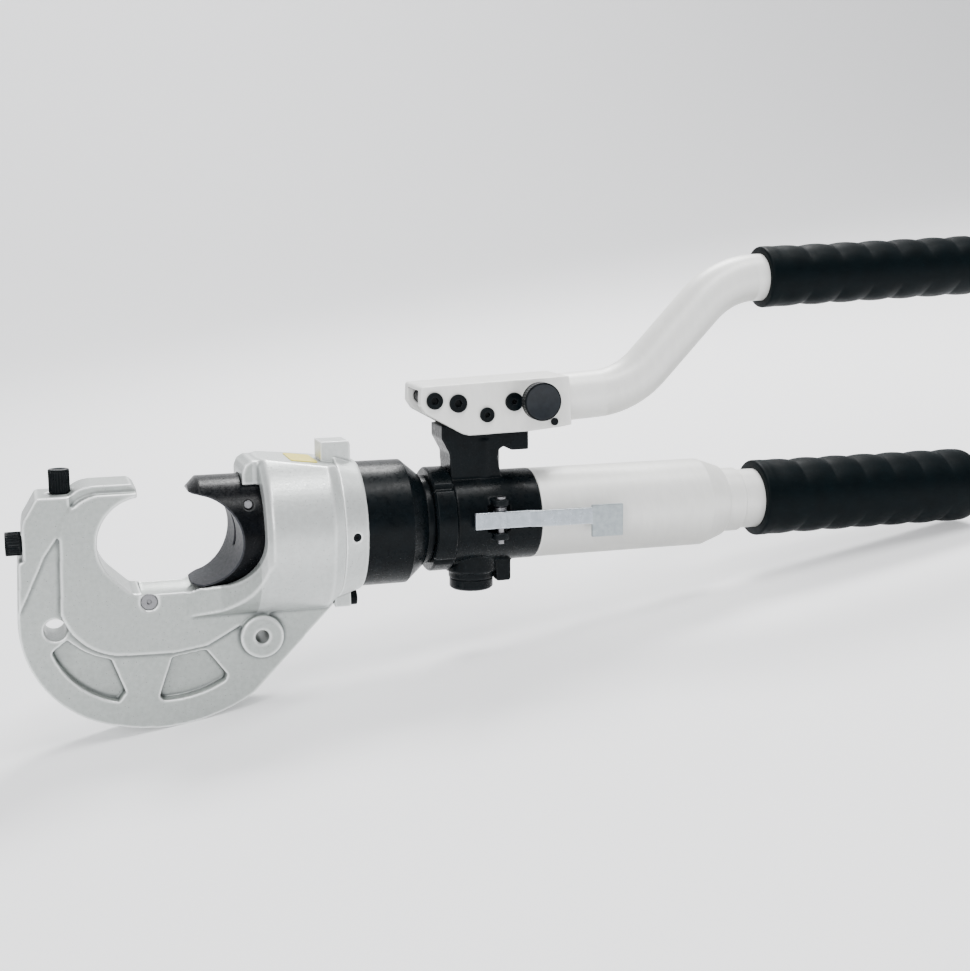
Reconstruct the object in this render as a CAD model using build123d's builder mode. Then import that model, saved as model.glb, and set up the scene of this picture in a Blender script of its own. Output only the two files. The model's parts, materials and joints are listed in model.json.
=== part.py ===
from build123d import *
import os
from math import cos, radians, sin

# Hand-operated hydraulic crimping tool with a swivelling open C-head.
#
# Modelling frame, in millimetres: +X runs along the tool axis from the jaw to the grip end,
# X = 0 is the joint between the head's retaining ring and the black cylinder, +Z points to
# the pumping handle, and Y is across the jaw.  The last section sets the whole tool down on
# its jaw and grip end, with the origin in the middle of its footprint.

# ---------------------------------------------------------------- driving dimensions
CYLINDER_R = 35.6
PISTON_R = 24.25
RUNNING_GAP = 0.05

SEAT_R = 25.0
FIXED_SEAT_X = -119.0
RAM_SEAT_X = -93.5
JAW_TIP_X = -121.2
WEB_HALF = 15.0
LAND_HALF = 17.0
RIM_HALF = 16.0
POCKET_HALF = 8.0
BARREL_R = 46.0
BARREL_FRONT_X = -57.0
RING_FRONT_X = -14.0

RAM_R = 32.5
RAM_FRONT_X = -94.5
RAM_BACK_X = -48.0
TROUGH_R = RAM_R + 0.2

BODY_R = 26.5
BODY_FRONT_X = 53.0
BODY_BACK_X = 104.0
LUG_HALF = 11.5
CHEEK_INNER = 12.2
CHEEK_OUTER = 18.0
PIVOT = (56.3, 68.4)
STOP_BOLT = (42.6, 70.3)
PLUNGER_PIN = (73.3, 61.3)
PLUNGER_X = 73.7
SIDE_STUD = (89.4, 68.1)
KNOB = (101.5, 69.1)

TUBE_R = 26.3
TUBE_END_X = 212.0
TAIL_R = 18.0
GRIP_END_X = 406.0
GRIP_R = 23.3
HANDLE_TUBE_R = 14.0
HANDLE_GRIP_R = 18.4
TUBE_WALL = 2.5

LEVER_PIVOT_X = 78.0
LEVER_PIVOT_Y = -28.0
LEVER_Z = 2.5

STAND_TILT = 8.84

os.makedirs("parts", exist_ok=True)
pieces = []


# ---------------------------------------------------------------- shared shapes
def turned(*profile, plane=Plane.XZ, mode=Mode.ADD):
    """Turn a closed (along, radius) outline about the plane's local x axis."""
    with BuildSketch(plane) as half_section:
        with BuildLine():
            Polyline(*profile, close=True)
        make_face()
    revolve(half_section.sketch, axis=Axis(plane.origin, plane.x_dir), mode=mode)


def sleeve(x_low, x_high, inner, outer, plane=Plane.XZ, mode=Mode.ADD):
    """A plain ring along the local x axis."""
    turned((x_low, inner), (x_high, inner), (x_high, outer), (x_low, outer), plane=plane, mode=mode)


def cross_rod(place, radius, y_low, y_high, mode=Mode.ADD):
    """A round bar across the tool at place = (x, z)."""
    with BuildSketch(Plane.XZ.offset(-y_high)) as disc:
        with Locations(place):
            Circle(radius)
    extrude(disc.sketch, amount=y_high - y_low, mode=mode)


def upright_rod(place, radius, z_low, z_high, mode=Mode.ADD):
    """A round bar along Z at place = (x, y)."""
    with BuildSketch(Plane.XY.offset(z_low)) as disc:
        with Locations(place):
            Circle(radius)
    extrude(disc.sketch, amount=z_high - z_low, mode=mode)


def axial_rod(place, radius, x_low, x_high, mode=Mode.ADD):
    """A round bar along X at place = (y, z)."""
    with BuildSketch(Plane.YZ.offset(x_low)) as disc:
        with Locations(place):
            Circle(radius)
    extrude(disc.sketch, amount=x_high - x_low, mode=mode)


def side_prism(outline, half_width, mode=Mode.ADD):
    """A closed (x, z) outline of straight runs, as thick as twice half_width about Y = 0."""
    with BuildSketch(Plane.XZ) as face:
        with BuildLine():
            Polyline(*outline, close=True)
        make_face()
    extrude(face.sketch, amount=half_width, both=True, mode=mode)


def socket_hex(place, across_flats, y_low, y_high):
    """Cut a hexagon key socket along Y."""
    with BuildSketch(Plane.XZ.offset(-y_high)) as key:
        with Locations(place):
            RegularPolygon(across_flats / 2, 6, major_radius=False)
    extrude(key.sketch, amount=y_high - y_low, mode=Mode.SUBTRACT)


def coil(radius, wire_r, length, pitch, start, along):
    """A helical spring that starts at a point and runs along a direction."""
    along = Vector(*along)
    with BuildLine() as path:
        Helix(pitch=pitch, height=length - 2 * wire_r, radius=radius,
              center=Vector(*start) + along * wire_r, direction=along)
    with BuildSketch(path.line ^ 0) as wire:
        Circle(wire_r)
    sweep(wire.sketch, path=path.line, is_frenet=True)


def finish(piece, name):
    """Label a finished piece and keep it for the standing step."""
    piece.part.label = name
    pieces.append(piece.part)


# ---------------------------------------------------------------- head: forged C frame
def web_outline():
    """The C in side view, with the gusset that carries it back to the barrel."""
    start = Line((JAW_TIP_X, 24.9), (JAW_TIP_X, 28.6))
    Polyline(start @ 1, (-124.8, 32.3), (-146.0, 32.3))
    ThreePointArc((-146.0, 32.3), (-152.2, 30.9), (-157.0, 27.5))
    Polyline((-157.0, 27.5), (-174.0, 27.5), (-181.6, 14.9), (-185.2, -8.0), (-186.7, -40.0))
    ThreePointArc((-186.7, -40.0), (-174.6, -77.5), (-137.0, -101.3))
    ThreePointArc((-137.0, -101.3), (-97.0, -103.0), (-62.0, -89.0))
    Polyline((-62.0, -89.0), (-16.7, -42.5), (-30.0, -23.9), (-122.0, -23.9), (-122.0, -27.6),
             (-126.0, -27.6), (-136.7, -17.7))
    ThreePointArc((-136.7, -17.7), (FIXED_SEAT_X - SEAT_R, 0), start @ 0)


def land_outline():
    """The raised face that follows the jaw and sweeps back under the opening."""
    Polyline((JAW_TIP_X, 24.9), (JAW_TIP_X, 27.5), (-143.0, 27.5))
    ThreePointArc((-143.0, 27.5), (-156.6, 20.6), (-163.0, 7.0))
    Polyline((-163.0, 7.0), (-164.6, -36.0))
    ThreePointArc((-164.6, -36.0), (-152.2, -54.4), (-131.5, -61.5))
    Polyline((-131.5, -61.5), (-106.0, -62.3), (-88.0, -59.8), (-66.0, -48.0), (-40.0, -40.0),
             (-40.0, -23.9), (-122.0, -23.9), (-122.0, -27.6), (-126.0, -27.6), (-136.7, -17.7))
    ThreePointArc((-136.7, -17.7), (FIXED_SEAT_X - SEAT_R, 0), (JAW_TIP_X, 24.9))


def front_pocket_outline():
    """The recess between the land, the rim and the post, on the spine side."""
    Polyline((-170.2, -57.0), (-161.8, -50.5))
    ThreePointArc((-161.8, -50.5), (-151.7, -58.6), (-139.6, -63.2))
    Polyline((-139.6, -63.2), (-132.6, -82.5), (-136.4, -87.4))
    ThreePointArc((-136.4, -87.4), (-156.5, -77.2), (-170.2, -57.0))


def rear_pocket_outline():
    """The recess between the land, the rim and the eyelet."""
    Polyline((-107.0, -64.9), (-88.6, -62.4), (-77.6, -77.4), (-78.6, -80.8))
    ThreePointArc((-78.6, -80.8), (-95.0, -87.3), (-112.6, -89.0))
    Polyline((-112.6, -89.0), (-114.6, -86.6), (-107.0, -64.9))


EYELET = (-58.0, -56.6)
HANGING_HOLE = (-167.6, -44.6)
DIE_CLIP = (-118.2, -32.7)
TOP_BUTTON_X = -161.3
FRONT_PIN_Z = 1.0
NOTCH_X = -182.0
FACES = (-1, 1)
FLAT_FRONT = (-62.0, 43.25)
FLAT_BACK = (-9.0, 36.35)

# The barrel's front flows down and forward into the lower arm.
with BuildPart() as fairing:
    with BuildSketch(Plane.XZ):
        with BuildLine():
            Line((-50.0, 2.0), (BARREL_FRONT_X, 2.0))
            ThreePointArc((BARREL_FRONT_X, 2.0), (-62.5, -14.5), (-77.0, -24.5))
            Polyline((-77.0, -24.5), (-98.0, -27.0), (-98.0, -44.0), (-50.0, -BARREL_R),
                     (-50.0, 2.0))
        make_face()
    extrude(amount=BARREL_R, both=True)
    with BuildSketch(Plane.XY) as plan:
        with BuildLine():
            Polyline((-98.0, -LAND_HALF), (-98.0, LAND_HALF), (-80.0, 24.0), (-66.0, 35.0),
                     (BARREL_FRONT_X, 43.5), (-50.0, BARREL_R), (-50.0, -BARREL_R),
                     (BARREL_FRONT_X, -43.5), (-66.0, -35.0), (-80.0, -24.0), close=True)
        make_face()
    extrude(plan.sketch, amount=BARREL_R + 4, both=True, mode=Mode.INTERSECT)
    axial_rod((0, 0), BARREL_R, -100, -50, mode=Mode.INTERSECT)

with BuildPart() as head_frame:
    with BuildSketch(Plane.XZ):
        with BuildLine():
            web_outline()
        make_face()
    extrude(amount=WEB_HALF, both=True)
    with BuildSketch(Plane.XZ):
        with BuildLine():
            land_outline()
        make_face()
    extrude(amount=LAND_HALF, both=True)
    for face in FACES:
        with BuildSketch(Plane.XZ.offset(face * POCKET_HALF)) as pockets:
            with BuildLine():
                front_pocket_outline()
            make_face()
            with BuildLine():
                rear_pocket_outline()
            make_face()
        extrude(pockets.sketch, amount=face * LAND_HALF, mode=Mode.SUBTRACT)
    # Boss for the two buttons at the top of the spine.
    side_prism([(-157.0, 27.4), (-174.0, 27.4), (-181.4, 14.9), (-184.6, -8.0), (-186.0, -36.0),
                (-171.0, -4.0), (-157.0, 16.0)], RIM_HALF + 0.6)
    # Notch across the spine that the front button's head sits in.
    side_prism([(NOTCH_X, FRONT_PIN_Z - 7.3), (NOTCH_X, FRONT_PIN_Z + 7.3),
                (NOTCH_X - 10, FRONT_PIN_Z + 7.3), (NOTCH_X - 10, FRONT_PIN_Z - 7.3)],
               BARREL_R, mode=Mode.SUBTRACT)
    # Eyelet boss behind the rear pocket.
    cross_rod(EYELET, 12.0, -20.0, 20.0)
    # Barrel around the cylinder, with a flat for the label on top.
    turned((BARREL_FRONT_X, 0), (BARREL_FRONT_X, BARREL_R - 3), (BARREL_FRONT_X + 3, BARREL_R),
           (-20.5, BARREL_R), (RING_FRONT_X, 41.0), (RING_FRONT_X, 0))
    side_prism([FLAT_FRONT, FLAT_BACK, (FLAT_BACK[0], BARREL_R + 4), (FLAT_FRONT[0], BARREL_R + 4)],
               BARREL_R + 4, mode=Mode.SUBTRACT)
    add(fairing.part)
    # Brow that stands forward over the top of the ram.
    side_prism([(-50.0, 20.0), (-66.0, 20.0), (-66.0, 35.4), (-64.4, 39.4), (-60.6, 41.8),
                (-50.0, 41.0)], LAND_HALF)
    # Bores: the ram's guide runs on along the lower arm as a trough.
    axial_rod((0, 0), TROUGH_R, -122.0, RAM_BACK_X + 2, mode=Mode.SUBTRACT)
    axial_rod((0, 0), CYLINDER_R + RUNNING_GAP, RAM_BACK_X + 1, RING_FRONT_X + 1, mode=Mode.SUBTRACT)
    # Holes across the frame.
    cross_rod(EYELET, 3.75, -30, 30, mode=Mode.SUBTRACT)
    cross_rod(HANGING_HOLE, 6.0, -30, 30, mode=Mode.SUBTRACT)
    cross_rod(DIE_CLIP, 4.6, -LAND_HALF - 1, -LAND_HALF + 3, mode=Mode.SUBTRACT)
    cross_rod(DIE_CLIP, 2.6, -LAND_HALF - 1, -LAND_HALF + 6.5, mode=Mode.SUBTRACT)
    # Button bores: stem hole, the spring's counterbore, and a recess for the top button's head.
    upright_rod((TOP_BUTTON_X, 0), 2.05, 3.4, 30, mode=Mode.SUBTRACT)
    upright_rod((TOP_BUTTON_X, 0), 4.6, 15, 30, mode=Mode.SUBTRACT)
    upright_rod((TOP_BUTTON_X, 0), 6.6, 22.8, 40, mode=Mode.SUBTRACT)
    axial_rod((0, FRONT_PIN_Z), 2.05, -190, -140, mode=Mode.SUBTRACT)
    axial_rod((0, FRONT_PIN_Z), 4.6, -190, -170, mode=Mode.SUBTRACT)
    # Thread for the screw that holds the retaining ring.
    axial_rod((0, -43.0), 2.5, -30, RING_FRONT_X, mode=Mode.SUBTRACT)
finish(head_frame, "head_frame")

# ---------------------------------------------------------------- head: ring and small parts
RING_LUG_TOP = 49.0
RING_GRUB = (-7.4, -0.4)

with BuildPart() as retaining_ring:
    turned((RING_FRONT_X, CYLINDER_R + RUNNING_GAP), (RING_FRONT_X, 41.0), (-1.0, CYLINDER_R + 1.6),
           (0, CYLINDER_R + 0.6), (0, CYLINDER_R + RUNNING_GAP))
    side_prism([(-21.0, 38.0), (-21.0, RING_LUG_TOP), (-5.0, RING_LUG_TOP), (-4.0, 47.0),
                (-4.0, 36.8), (-13.9, 36.8), (-13.9, 37.1)], 9.0)
    side_prism([(-13.9, -36.5), (-13.9, -47.0), (-4.5, -47.0), (-4.5, -36.5)], 5.0)
    # The grub screw's hole through the near side, and the ring screw's clearance hole.
    cross_rod(RING_GRUB, 2.4, -50, -30, mode=Mode.SUBTRACT)
    axial_rod((0, -43.0), 2.7, -20, 0, mode=Mode.SUBTRACT)
finish(retaining_ring, "retaining_ring")

with BuildPart() as ring_screw:
    axial_rod((0, -43.0), 2.45, -28.0, -4.5)
    axial_rod((0, -43.0), 4.2, -4.5, -0.6)
    with BuildSketch(Plane.YZ.offset(-0.6)) as screw_key:
        with Locations((0, -43.0)):
            RegularPolygon(2.0, 6)
    extrude(screw_key.sketch, amount=-2.4, mode=Mode.SUBTRACT)
finish(ring_screw, "ring_screw")

with BuildPart() as ring_grub_screw:
    cross_rod(RING_GRUB, 2.35, -37.9, -35.8)
    socket_hex(RING_GRUB, 2.0, -38.0, -36.8)
finish(ring_grub_screw, "ring_grub_screw")

flat_run = Vector(FLAT_BACK[0] - FLAT_FRONT[0], 0, FLAT_BACK[1] - FLAT_FRONT[1]).normalized()
flat_plane = Plane(origin=(FLAT_FRONT[0], 0, FLAT_FRONT[1]), x_dir=flat_run,
                   z_dir=(-flat_run.Z, 0, flat_run.X))

with BuildPart() as label_plate:
    with BuildSketch(flat_plane):
        with Locations((31.2, 0)):
            RectangleRounded(15, 30, 2)
    extrude(amount=0.6)
finish(label_plate, "label_plate")

with BuildPart() as die_clip_pin:
    cross_rod(DIE_CLIP, 2.55, -LAND_HALF + 1.0, -LAND_HALF + 6.2)
    cross_rod(DIE_CLIP, 4.4, -LAND_HALF + 1.0, -LAND_HALF + 2.5)
    cross_rod(DIE_CLIP, 1.2, -LAND_HALF, -LAND_HALF + 2.0, mode=Mode.SUBTRACT)
finish(die_clip_pin, "die_clip_pin")

with BuildPart() as head_scraper_ring:
    sleeve(RAM_BACK_X + 2.0, RAM_BACK_X + 3.0, 28.0, CYLINDER_R)
finish(head_scraper_ring, "head_scraper_ring")

# ---------------------------------------------------------------- head: die release buttons
with BuildPart() as top_button:
    upright_rod((TOP_BUTTON_X, 0), 5.6, 27.3, 40.2)
    chamfer(top_button.edges().filter_by(GeomType.CIRCLE), 0.6)
    upright_rod((TOP_BUTTON_X, 0), 4.3, 22.0, 28.0)
    upright_rod((TOP_BUTTON_X, 0), 2.0, 7.0, 28.0)
finish(top_button, "top_button")

with BuildPart() as top_button_spring:
    coil(3.3, 0.5, 6.8, 2.4, (TOP_BUTTON_X, 0, 15.1), (0, 0, 1))
finish(top_button_spring, "top_button_spring")

with BuildPart() as front_button:
    axial_rod((0, FRONT_PIN_Z), 6.5, -190.9, NOTCH_X - 0.3)
    chamfer(front_button.edges().filter_by(GeomType.CIRCLE), 0.8)
    axial_rod((0, FRONT_PIN_Z), 4.3, -183.0, -178.5)
    axial_rod((0, FRONT_PIN_Z), 2.0, -183.0, -145.0)
finish(front_button, "front_button")

with BuildPart() as front_button_spring:
    coil(3.3, 0.5, 8.2, 2.4, (-178.4, 0, FRONT_PIN_Z), (1, 0, 0))
finish(front_button_spring, "front_button_spring")

# ---------------------------------------------------------------- ram
HORN_BEVEL = 5.1
RAM_BORE_R = 13.0
RAM_BORE_FRONT_X = -56.0
RAM_END_X = 10.0
CATCH_HEIGHT = 18.0
CATCH_SCREW = (-64.2, 19.0)

with BuildPart() as ram:
    turned((RAM_FRONT_X, 0), (RAM_FRONT_X, RAM_R - HORN_BEVEL), (RAM_FRONT_X + HORN_BEVEL, RAM_R),
           (RAM_BACK_X - 1, RAM_R), (RAM_BACK_X, RAM_R - 1), (RAM_BACK_X, PISTON_R),
           (-6.0, PISTON_R), (-6.0, PISTON_R - 2.5), (-2.0, PISTON_R - 2.5), (-2.0, PISTON_R),
           (2.0, PISTON_R), (2.0, PISTON_R - 1.8), (7.0, PISTON_R - 1.8), (7.0, PISTON_R),
           (RAM_END_X, PISTON_R), (RAM_END_X, 0))
    cross_rod((RAM_SEAT_X, 0), SEAT_R, -40, 40, mode=Mode.SUBTRACT)
    with BuildSketch(Plane.XZ) as seat_mouth:
        with Locations((RAM_SEAT_X - 10, 0)):
            Rectangle(20, 2 * SEAT_R)
    extrude(seat_mouth.sketch, amount=40, both=True, mode=Mode.SUBTRACT)
    axial_rod((0, 0), RAM_BORE_R, RAM_BORE_FRONT_X, 5.0, mode=Mode.SUBTRACT)
    axial_rod((0, 0), RAM_BORE_R + 2, 5.0, 20.0, mode=Mode.SUBTRACT)
    # Pocket for the die catch in the middle of the seat.
    with BuildSketch(Plane.YZ.offset(-73.5)) as catch_pocket:
        with Locations((0, 1.0)):
            Rectangle(6, CATCH_HEIGHT)
    extrude(catch_pocket.sketch, amount=9.0, mode=Mode.SUBTRACT)
    cross_rod(CATCH_SCREW, 1.55, -40, -17, mode=Mode.SUBTRACT)
    cross_rod(CATCH_SCREW, 2.6, -40, -23.4, mode=Mode.SUBTRACT)
finish(ram, "ram")

with BuildPart() as die_catch:
    with BuildSketch(Plane.YZ.offset(-67.1)) as catch_face:
        with Locations((0, 1.0)):
            Rectangle(5.4, CATCH_HEIGHT - 0.6)
    extrude(catch_face.sketch, amount=1.2)
    with BuildSketch(Plane.YZ.offset(-66.0)) as catch_foot:
        with Locations((0, -5.0)):
            Rectangle(5.4, 4.0)
    extrude(catch_foot.sketch, amount=1.5)
finish(die_catch, "die_catch")

with BuildPart() as catch_screw:
    cross_rod(CATCH_SCREW, 1.5, -24.0, -17.2)
    cross_rod(CATCH_SCREW, 2.4, -25.0, -23.5)
finish(catch_screw, "catch_screw")

with BuildPart() as piston_seal:
    sleeve(-5.8, -2.2, PISTON_R - 2.45, PISTON_R + 0.03)
finish(piston_seal, "piston_seal")

with BuildPart() as piston_guide_ring:
    sleeve(2.1, 6.9, PISTON_R - 1.75, PISTON_R + 0.03)
finish(piston_guide_ring, "piston_guide_ring")

with BuildPart() as spring_retainer:
    sleeve(5.05, 9.8, 5.4, RAM_BORE_R + 1.95)
finish(spring_retainer, "spring_retainer")

with BuildPart() as return_spring:
    coil(9.0, 1.5, 52.2, 5.2, (-47.4, 0, 0), (1, 0, 0))
finish(return_spring, "return_spring")

# ---------------------------------------------------------------- cylinder and front of the pump
CYLINDER_FRONT_X = RAM_BACK_X + 3.05
CYLINDER_FLOOR_X = 14.0
SPIGOT_R = 20.0
SPIGOT_X = 22.0
NECK_X = 36.0

with BuildPart() as cylinder:
    turned((CYLINDER_FRONT_X, PISTON_R + RUNNING_GAP), (CYLINDER_FRONT_X, CYLINDER_R),
           (-17.0, CYLINDER_R), (-17.0, CYLINDER_R - 2), (-14.8, CYLINDER_R - 2),
           (-14.8, CYLINDER_R), (26.0, CYLINDER_R), (NECK_X, 27.0), (NECK_X, SPIGOT_R + 0.02),
           (SPIGOT_X, SPIGOT_R + 0.02), (SPIGOT_X, 4.0), (CYLINDER_FLOOR_X, 4.0),
           (CYLINDER_FLOOR_X, PISTON_R + RUNNING_GAP))
    axial_rod((0, -16.0), 2.0, CYLINDER_FLOOR_X - 1, SPIGOT_X + 1, mode=Mode.SUBTRACT)
finish(cylinder, "cylinder")

with BuildPart() as return_bolt:
    turned((-50.0, 0), (-50.0, 11.0), (-47.5, 11.0), (-47.5, 4.9), (CYLINDER_FLOOR_X - 0.1, 4.9),
           (CYLINDER_FLOOR_X - 0.1, 3.9), (SPIGOT_X - 0.5, 3.9), (SPIGOT_X - 0.5, 0))
finish(return_bolt, "return_bolt")

with BuildPart() as swivel_snap_ring:
    sleeve(-16.6, -15.2, CYLINDER_R - 1.9, CYLINDER_R - 0.1)
    with BuildSketch(Plane.YZ.offset(-17)) as snap_gap:
        with Locations((0, 34)):
            Rectangle(4, 6)
    extrude(snap_gap.sketch, amount=3, mode=Mode.SUBTRACT)
finish(swivel_snap_ring, "swivel_snap_ring")

with BuildPart() as spigot_seal:
    sleeve(26.0, 28.5, SPIGOT_R - 1.9, SPIGOT_R - 0.02)
finish(spigot_seal, "spigot_seal")

COLLAR_R = 30.2

with BuildPart() as collar_nut:
    turned((40.7, 24.05), (40.7, COLLAR_R - 1), (41.7, COLLAR_R), (51.9, COLLAR_R),
           (52.9, COLLAR_R - 1), (52.9, 24.05))
    with BuildSketch(Plane.YZ.offset(40.0)) as spanner_notches:
        with PolarLocations(COLLAR_R + 0.4, 4, start_angle=45):
            Circle(2.0)
    extrude(spanner_notches.sketch, amount=18, mode=Mode.SUBTRACT)
finish(collar_nut, "collar_nut")

# ---------------------------------------------------------------- pump body
LUG_TOP_Z = 52.0
PLUNGER_R = 6.0
PIVOT_R = 3.5
VALVE_X = 68.5
RELIEF_X = 86.0
RELEASE_X = 92.0
EAR_LOW = (LEVER_Z - 11.6, LEVER_Z - 7.7)
EAR_HIGH = (LEVER_Z + 7.7, LEVER_Z + 11.6)

with BuildPart() as pump_body:
    turned((SPIGOT_X + 0.1, 0), (SPIGOT_X + 0.1, SPIGOT_R), (25.9, SPIGOT_R), (25.9, SPIGOT_R - 2),
           (28.6, SPIGOT_R - 2), (28.6, SPIGOT_R), (NECK_X + 0.02, SPIGOT_R), (NECK_X + 0.02, 25.4),
           (40.6, 25.4), (40.6, 24.0), (BODY_FRONT_X, 24.0), (BODY_FRONT_X, BODY_R - 1),
           (BODY_FRONT_X + 1, BODY_R), (BODY_BACK_X, BODY_R), (BODY_BACK_X, TUBE_R - TUBE_WALL - 0.05),
           (112.0, TUBE_R - TUBE_WALL - 0.05), (112.0, 0))
    # Fulcrum lug with its hooked nose and the lock plate that stands between the handle's cheeks.
    side_prism([(53.5, 15.0), (53.5, 31.0), (53.2, 38.8), (48.5, 47.6), (48.5, 55.0), (51.4, 55.0),
                (51.4, 64.0), (61.4, 64.0), (65.0, LUG_TOP_Z), (86.0, LUG_TOP_Z), (92.5, 58.5),
                (94.3, 66.0), (94.6, 75.0), (109.5, 75.6), (109.5, 54.0), (100.5, 52.5), (100.5, 39.3),
                (90.5, 39.2), (87.6, 40.6), (85.4, 41.8), (82.8, 40.2), (81.9, 35.6), (82.9, 29.2),
                (85.0, 15.0)], LUG_HALF)
    cross_rod(PIVOT, 7.0, -LUG_HALF, LUG_HALF)
    upright_rod((PLUNGER_X, 0), 12.0, 15.0, 46.0)
    # Bosses underneath for the suction valve and the relief valve.
    upright_rod((VALVE_X, 0), 13.3, -36.0, -10.0)
    upright_rod((VALVE_X, 0), 15.3, -31.5, -10.0)
    side_prism([(81.6, -15.0), (81.6, -37.4), (82.4, -38.2), (89.4, -38.2), (90.4, -37.0),
                (90.4, -15.0)], 8.5)
    # Ears for the release lever's pin, with the lever's hub pocketed between them.
    for z_low, z_high in (EAR_LOW, EAR_HIGH):
        with BuildSketch(Plane.XY.offset(z_low)) as ear:
            with Locations((LEVER_PIVOT_X, -25.5)):
                RectangleRounded(9.0, 13.4, 3.2)
        extrude(ear.sketch, amount=z_high - z_low)
    with BuildSketch(Plane.XY.offset(EAR_LOW[1])) as hub_pocket:
        with Locations((LEVER_PIVOT_X, -30.0)):
            Rectangle(13, 14)
    extrude(hub_pocket.sketch, amount=EAR_HIGH[0] - EAR_LOW[1], mode=Mode.SUBTRACT)
    upright_rod((LEVER_PIVOT_X, LEVER_PIVOT_Y), 2.0, -20, 20, mode=Mode.SUBTRACT)
    # Bores: handle pivot, plunger and its gland, lock hole, valves and release pin.
    cross_rod(PIVOT, PIVOT_R + RUNNING_GAP, -20, 20, mode=Mode.SUBTRACT)
    upright_rod((PLUNGER_X, 0), PLUNGER_R + RUNNING_GAP, -6.0, 60.0, mode=Mode.SUBTRACT)
    upright_rod((PLUNGER_X, 0), 8.5, 41.5, 60.0, mode=Mode.SUBTRACT)
    cross_rod(KNOB, 3.9, -20, -4, mode=Mode.SUBTRACT)
    upright_rod((VALVE_X, 0), 10.0, -40.0, -22.0, mode=Mode.SUBTRACT)
    upright_rod((VALVE_X, 0), 6.0, -23.0, -10.0, mode=Mode.SUBTRACT)
    upright_rod((RELIEF_X, 0), 4.0, -40.0, -18.0, mode=Mode.SUBTRACT)
    axial_rod((0, 9.0), 5.0, SPIGOT_X - 1, 46.0, mode=Mode.SUBTRACT)
    cross_rod((RELEASE_X, LEVER_Z), 2.0 + RUNNING_GAP, -40, -10, mode=Mode.SUBTRACT)
finish(pump_body, "pump_body")

with BuildPart() as plunger_gland:
    upright_rod((PLUNGER_X, 0), 8.45, 44.2, LUG_TOP_Z - 0.2)
    upright_rod((PLUNGER_X, 0), PLUNGER_R + RUNNING_GAP, 40, 55, mode=Mode.SUBTRACT)
finish(plunger_gland, "plunger_gland")

with BuildPart() as plunger_seal:
    upright_rod((PLUNGER_X, 0), 8.4, 41.6, 44.1)
    upright_rod((PLUNGER_X, 0), PLUNGER_R + 0.02, 40, 45, mode=Mode.SUBTRACT)
finish(plunger_seal, "plunger_seal")

with BuildPart() as valve_cap:
    upright_rod((VALVE_X, 0), 12.8, -42.4, -36.1)
    chamfer(valve_cap.edges().filter_by(GeomType.CIRCLE).group_by(Axis.Z)[0], 1.2)
    upright_rod((VALVE_X, 0), 9.95, -36.2, -22.6)
    with BuildSketch(Plane.XY.offset(-42.5)) as cap_key:
        with Locations((VALVE_X, 0)):
            RegularPolygon(5, 6)
    extrude(cap_key.sketch, amount=4.0, mode=Mode.SUBTRACT)
finish(valve_cap, "valve_cap")

with BuildPart() as suction_valve:
    upright_rod((VALVE_X, 0), 5.95, -22.4, -10.2)
    upright_rod((VALVE_X, 0), 2.0, -23, -15, mode=Mode.SUBTRACT)
finish(suction_valve, "suction_valve")

with BuildPart() as relief_valve:
    upright_rod((RELIEF_X, 0), 3.95, -37.8, -18.2)
    with BuildSketch(Plane.XY.offset(-38)) as relief_key:
        with Locations((RELIEF_X, 0)):
            RegularPolygon(2.2, 6)
    extrude(relief_key.sketch, amount=2.5, mode=Mode.SUBTRACT)
finish(relief_valve, "relief_valve")

with BuildPart() as delivery_valve:
    axial_rod((0, 9.0), 4.95, SPIGOT_X + 0.3, 45.8)
    axial_rod((0, 9.0), 1.5, SPIGOT_X, 36.0, mode=Mode.SUBTRACT)
finish(delivery_valve, "delivery_valve")

# ---------------------------------------------------------------- plunger
with BuildPart() as plunger:
    upright_rod((PLUNGER_X, 0), PLUNGER_R, 3.0, 54.0)
    with BuildSketch(Plane.XZ) as eye_side:
        with Locations((PLUNGER_X, 60.6)):
            RectangleRounded(11.6, 14.0, 3.0)
        with Locations((PLUNGER_X, PLUNGER_PIN[1])):
            SlotOverall(10.4, 6.7, mode=Mode.SUBTRACT)
    extrude(eye_side.sketch, amount=5.0, both=True)
finish(plunger, "plunger")

# ---------------------------------------------------------------- release lever and valve
LEVER_HALF = 4.75
LEVER_INNER_Y = -29.3
LEVER_PLATE = 2.5
LEVER_TIP_X = 62.1
PAD_FRONT_X = 131.1
PAD_BACK_X = 149.8
PAD_LOW_Z = -10.1
PAD_HIGH_Z = 8.7

with BuildPart() as release_lever:
    with BuildSketch(Plane.XY.offset(LEVER_Z - LEVER_HALF)):
        with BuildLine():
            Polyline((LEVER_TIP_X, LEVER_INNER_Y), (95.0, LEVER_INNER_Y), (101.0, -31.4),
                     (PAD_FRONT_X + 1, -32.7), (PAD_FRONT_X + 1, -32.7 - LEVER_PLATE),
                     (100.6, -31.4 - LEVER_PLATE), (94.6, LEVER_INNER_Y - LEVER_PLATE),
                     (LEVER_TIP_X, LEVER_INNER_Y - LEVER_PLATE), close=True)
        make_face()
    extrude(amount=2 * LEVER_HALF)
    with BuildSketch(Plane.XY.offset(PAD_LOW_Z)):
        with BuildLine():
            Polyline((PAD_FRONT_X, -32.6), (PAD_BACK_X, -33.4), (PAD_BACK_X, -33.4 - LEVER_PLATE),
                     (PAD_FRONT_X, -32.6 - LEVER_PLATE), close=True)
        make_face()
    extrude(amount=PAD_HIGH_Z - PAD_LOW_Z)
    upright_rod((LEVER_PIVOT_X, LEVER_PIVOT_Y), 4.2, LEVER_Z - LEVER_HALF, LEVER_Z + LEVER_HALF)
    upright_rod((LEVER_PIVOT_X, LEVER_PIVOT_Y), 2.02, -20, 20, mode=Mode.SUBTRACT)
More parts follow.
